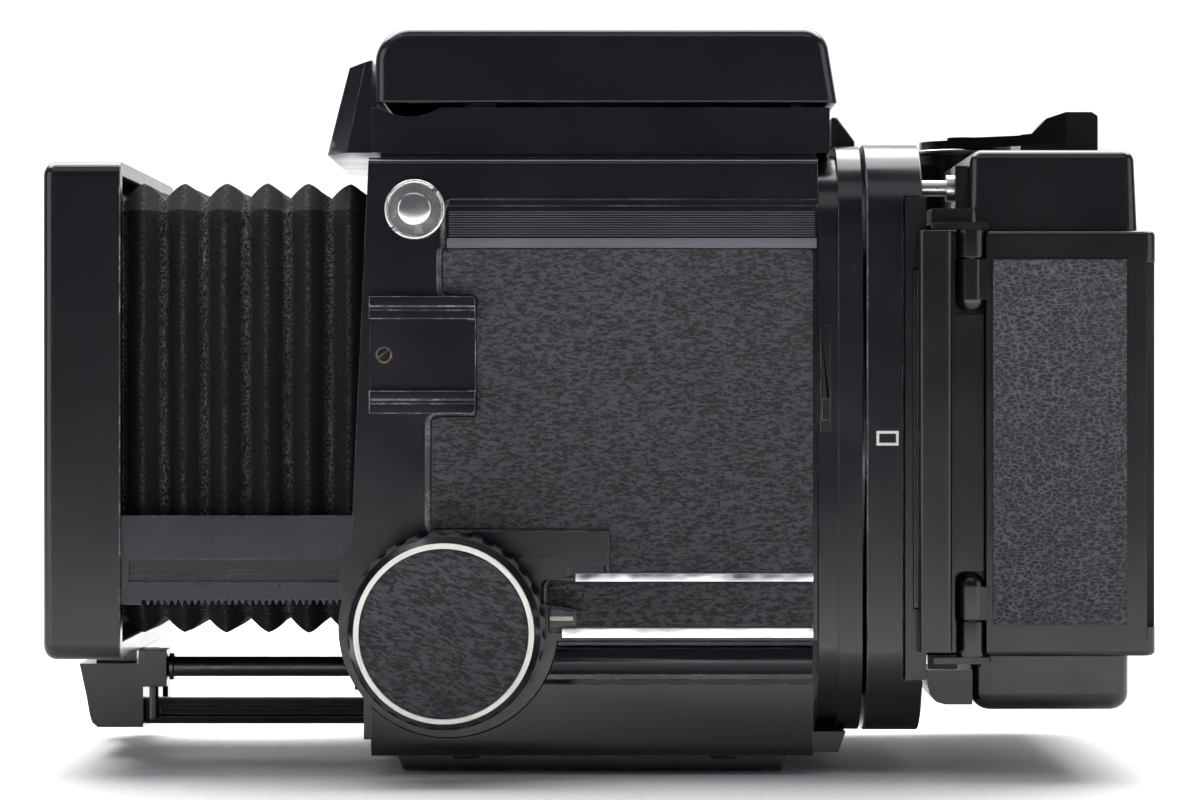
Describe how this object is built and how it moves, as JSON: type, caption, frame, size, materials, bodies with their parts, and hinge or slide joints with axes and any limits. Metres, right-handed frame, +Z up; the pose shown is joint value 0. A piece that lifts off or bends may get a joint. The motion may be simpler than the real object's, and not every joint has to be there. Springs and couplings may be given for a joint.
{
  "type": "medium format single lens reflex camera",
  "caption": "Box-shaped reflex camera with a bellows-focused front standard, a folding waist-level hood, a revolving adapter and a roll-film back.",
  "frame": {"origin": "mouth of the tripod socket in the underside of the foot", "axes": "+X from the lens side to the film side, -Y to the camera's left side, +Z up"},
  "size_m": [0.2061, 0.1402, 0.1392],
  "materials": {
    "black_enamel": "satin black enamel, worn at the edges",
    "black_plastic": "satin black moulding",
    "knob_plastic": "matte black, scalloped",
    "leatherette": "black, coarse pebble grain",
    "ribbed_band": "satin black, ribbed",
    "bright_trim": "bright",
    "polished_steel": "satin to bright",
    "pale_ring": "pale anodised",
    "steel": "plain",
    "blued_steel": "blackened",
    "bronze": "bearing bronze",
    "bellows_cloth": "matte black coated cloth, pleated",
    "frame_black": "matte black",
    "lens_glass": "clear",
    "mirror_silver": "front-surface mirror"
  },
  "bodies": {
    "body": {"body_shell": "black_enamel", "left_side_cover": "black_enamel", "right_side_cover": "black_enamel", "side_leatherette": "leatherette", "nameplates": "ribbed_band", "trim_strips": "bright_trim", "strap_lugs": "polished_steel", "accessory_shoe": "black_enamel", "body_fasteners": "steel", "base_cover": "black_enamel", "tripod_foot": "blued_steel", "tripod_bushing": "polished_steel", "rear_frame": "black_enamel", "adapter_catch": "black_plastic", "focusing_screen": "lens_glass", "screen_frame": "steel", "shaft_bushes": "bronze", "finder_frame": "black_enamel", "finder_nose": "black_enamel", "finder_latch": "black_plastic", "bellows_rear_frame": "frame_black", "bellows": "bellows_cloth"},
    "front_standard": {"front_standard": "black_enamel", "lens_flange": "polished_steel", "flange_screws": "steel", "bellows_front_frame": "frame_black", "focus_racks": "blued_steel", "release_housing": "black_enamel", "cocking_rod": "steel", "release_rod": "steel"},
    "release_button": {"release_button": "steel"},
    "release_lock_ring": {"release_lock_ring": "steel"},
    "focus_drive": {"focus_shaft": "steel", "focus_pinions": "steel", "focus_knobs": "knob_plastic", "knob_rings": "pale_ring", "knob_leathers": "leatherette"},
    "focus_lock": {"focus_lock_lever": "black_enamel"},
    "mirror": {"mirror_carrier": "blued_steel", "mirror_glass": "mirror_silver"},
    "light_baffle": {"light_baffle": "blued_steel"},
    "cocking_lever": {"cocking_lever": "black_enamel"},
    "hood_lid": {"hood_lid": "black_enamel", "magnifier_frame": "black_plastic", "magnifier_lens": "lens_glass"},
    "hood_side_left": {"hood_side_left": "blued_steel"},
    "hood_side_right": {"hood_side_right": "blued_steel"},
    "hood_rear": {"hood_rear_panel": "blued_steel"},
    "film_back": {"revolving_adapter": "black_enamel", "film_back_case": "black_plastic", "back_pins": "steel", "film_insert": "black_plastic", "pressure_plate": "steel"},
    "back_door": {"back_door": "black_plastic", "door_leatherette": "leatherette"},
    "dark_slide": {"dark_slide": "black_plastic"},
    "advance_lever": {"advance_lever": "black_plastic"},
    "take_up_spool": {"take_up_spool": "black_plastic"},
    "supply_spool": {"supply_spool": "black_plastic"}
  },
  "joints": [
    {"name": "focus_slide", "type": "slide", "parent": "body", "child": "front_standard", "axis": [1, 0, 0], "range_m": [0, 0.046], "deforming": ["bellows"]},
    {"name": "focus_turn", "type": "hinge", "parent": "body", "child": "focus_drive", "pos_m": [-0.0272, 0, 0.0276], "axis": [0, 1, 0], "range_deg": [0, 600]},
    {"name": "focus_lock_swing", "type": "hinge", "parent": "body", "child": "focus_lock", "pos_m": [-0.0272, -0.0526, 0.0276], "axis": [0, 1, 0], "range_deg": [0, 30]},
    {"name": "shutter_release", "type": "slide", "parent": "front_standard", "child": "release_button", "axis": [1, 0, 0], "range_m": [0, 0.0018], "stiffness_N_per_m": 500, "springref_m": -0.0006},
    {"name": "release_lock", "type": "hinge", "parent": "front_standard", "child": "release_lock_ring", "pos_m": [-0.1014, 0.035, 0.0118], "axis": [-1, 0, 0], "range_deg": [0, 80]},
    {"name": "mirror_lift", "type": "hinge", "parent": "body", "child": "mirror", "pos_m": [0.0375, 0, 0.1005], "axis": [0, 1, 0], "range_deg": [0, 45]},
    {"name": "baffle_lift", "type": "hinge", "parent": "body", "child": "light_baffle", "pos_m": [0.0382, 0, 0.095], "axis": [0, 1, 0], "range_deg": [0, 90]},
    {"name": "cocking_swing", "type": "hinge", "parent": "body", "child": "cocking_lever", "pos_m": [0.018, 0.052, 0.052], "axis": [0, -1, 0], "range_deg": [0, 60], "stiffness_Nm_per_rad": 0.05, "springref_deg": -14.32},
    {"name": "hood_open", "type": "hinge", "parent": "body", "child": "hood_lid", "pos_m": [-0.0344, 0, 0.1326], "axis": [0, -1, 0], "range_deg": [0, 90]},
    {"name": "hood_left_fold", "type": "hinge", "parent": "body", "child": "hood_side_left", "pos_m": [0.007, -0.0395, 0.1264], "axis": [1, 0, 0], "range_deg": [0, 90]},
    {"name": "hood_right_fold", "type": "hinge", "parent": "body", "child": "hood_side_right", "pos_m": [0.007, 0.0395, 0.1264], "axis": [-1, 0, 0], "range_deg": [0, 90]},
    {"name": "hood_rear_fold", "type": "hinge", "parent": "body", "child": "hood_rear", "pos_m": [0.0396, 0, 0.1253], "axis": [0, 1, 0], "range_deg": [0, 90]},
    {"name": "back_revolve", "type": "hinge", "parent": "body", "child": "film_back", "pos_m": [0.05, 0, 0.0626], "axis": [1, 0, 0], "range_deg": [0, 90]},
    {"name": "door_swing", "type": "hinge", "parent": "film_back", "child": "back_door", "pos_m": [0.0691, -0.0539, 0.0626], "axis": [0, 0, -1], "range_deg": [0, 90]},
    {"name": "dark_slide_pull", "type": "slide", "parent": "film_back", "child": "dark_slide", "axis": [0, -1, 0], "range_m": [0, 0.092]},
    {"name": "advance_stroke", "type": "hinge", "parent": "film_back", "child": "advance_lever", "pos_m": [0.074, 0.018, 0.1178], "axis": [0, 0, 1], "range_deg": [0, 100], "stiffness_Nm_per_rad": 0.03, "springref_deg": -11.46},
    {"name": "take_up_turn", "type": "hinge", "parent": "film_back", "child": "take_up_spool", "pos_m": [0.084, 0.038, 0.0626], "axis": [0, 0, 1], "range_deg": [0, 300]},
    {"name": "supply_turn", "type": "hinge", "parent": "film_back", "child": "supply_spool", "pos_m": [0.084, -0.038, 0.0626], "axis": [0, 0, 1], "range_deg": [0, 300]}
  ],
  "couplings": [
    {"joint": "focus_turn", "follows": "focus_slide", "rad_per_m": 227.27},
    {"joint": "baffle_lift", "follows": "mirror_lift", "ratio": 2},
    {"joint": "hood_left_fold", "follows": "hood_open", "ratio": 1},
    {"joint": "hood_right_fold", "follows": "hood_open", "ratio": 1},
    {"joint": "hood_rear_fold", "follows": "hood_open", "ratio": 1},
    {"joint": "take_up_turn", "follows": "advance_stroke", "ratio": 3},
    {"joint": "supply_turn", "follows": "advance_stroke", "ratio": 3}
  ]
}
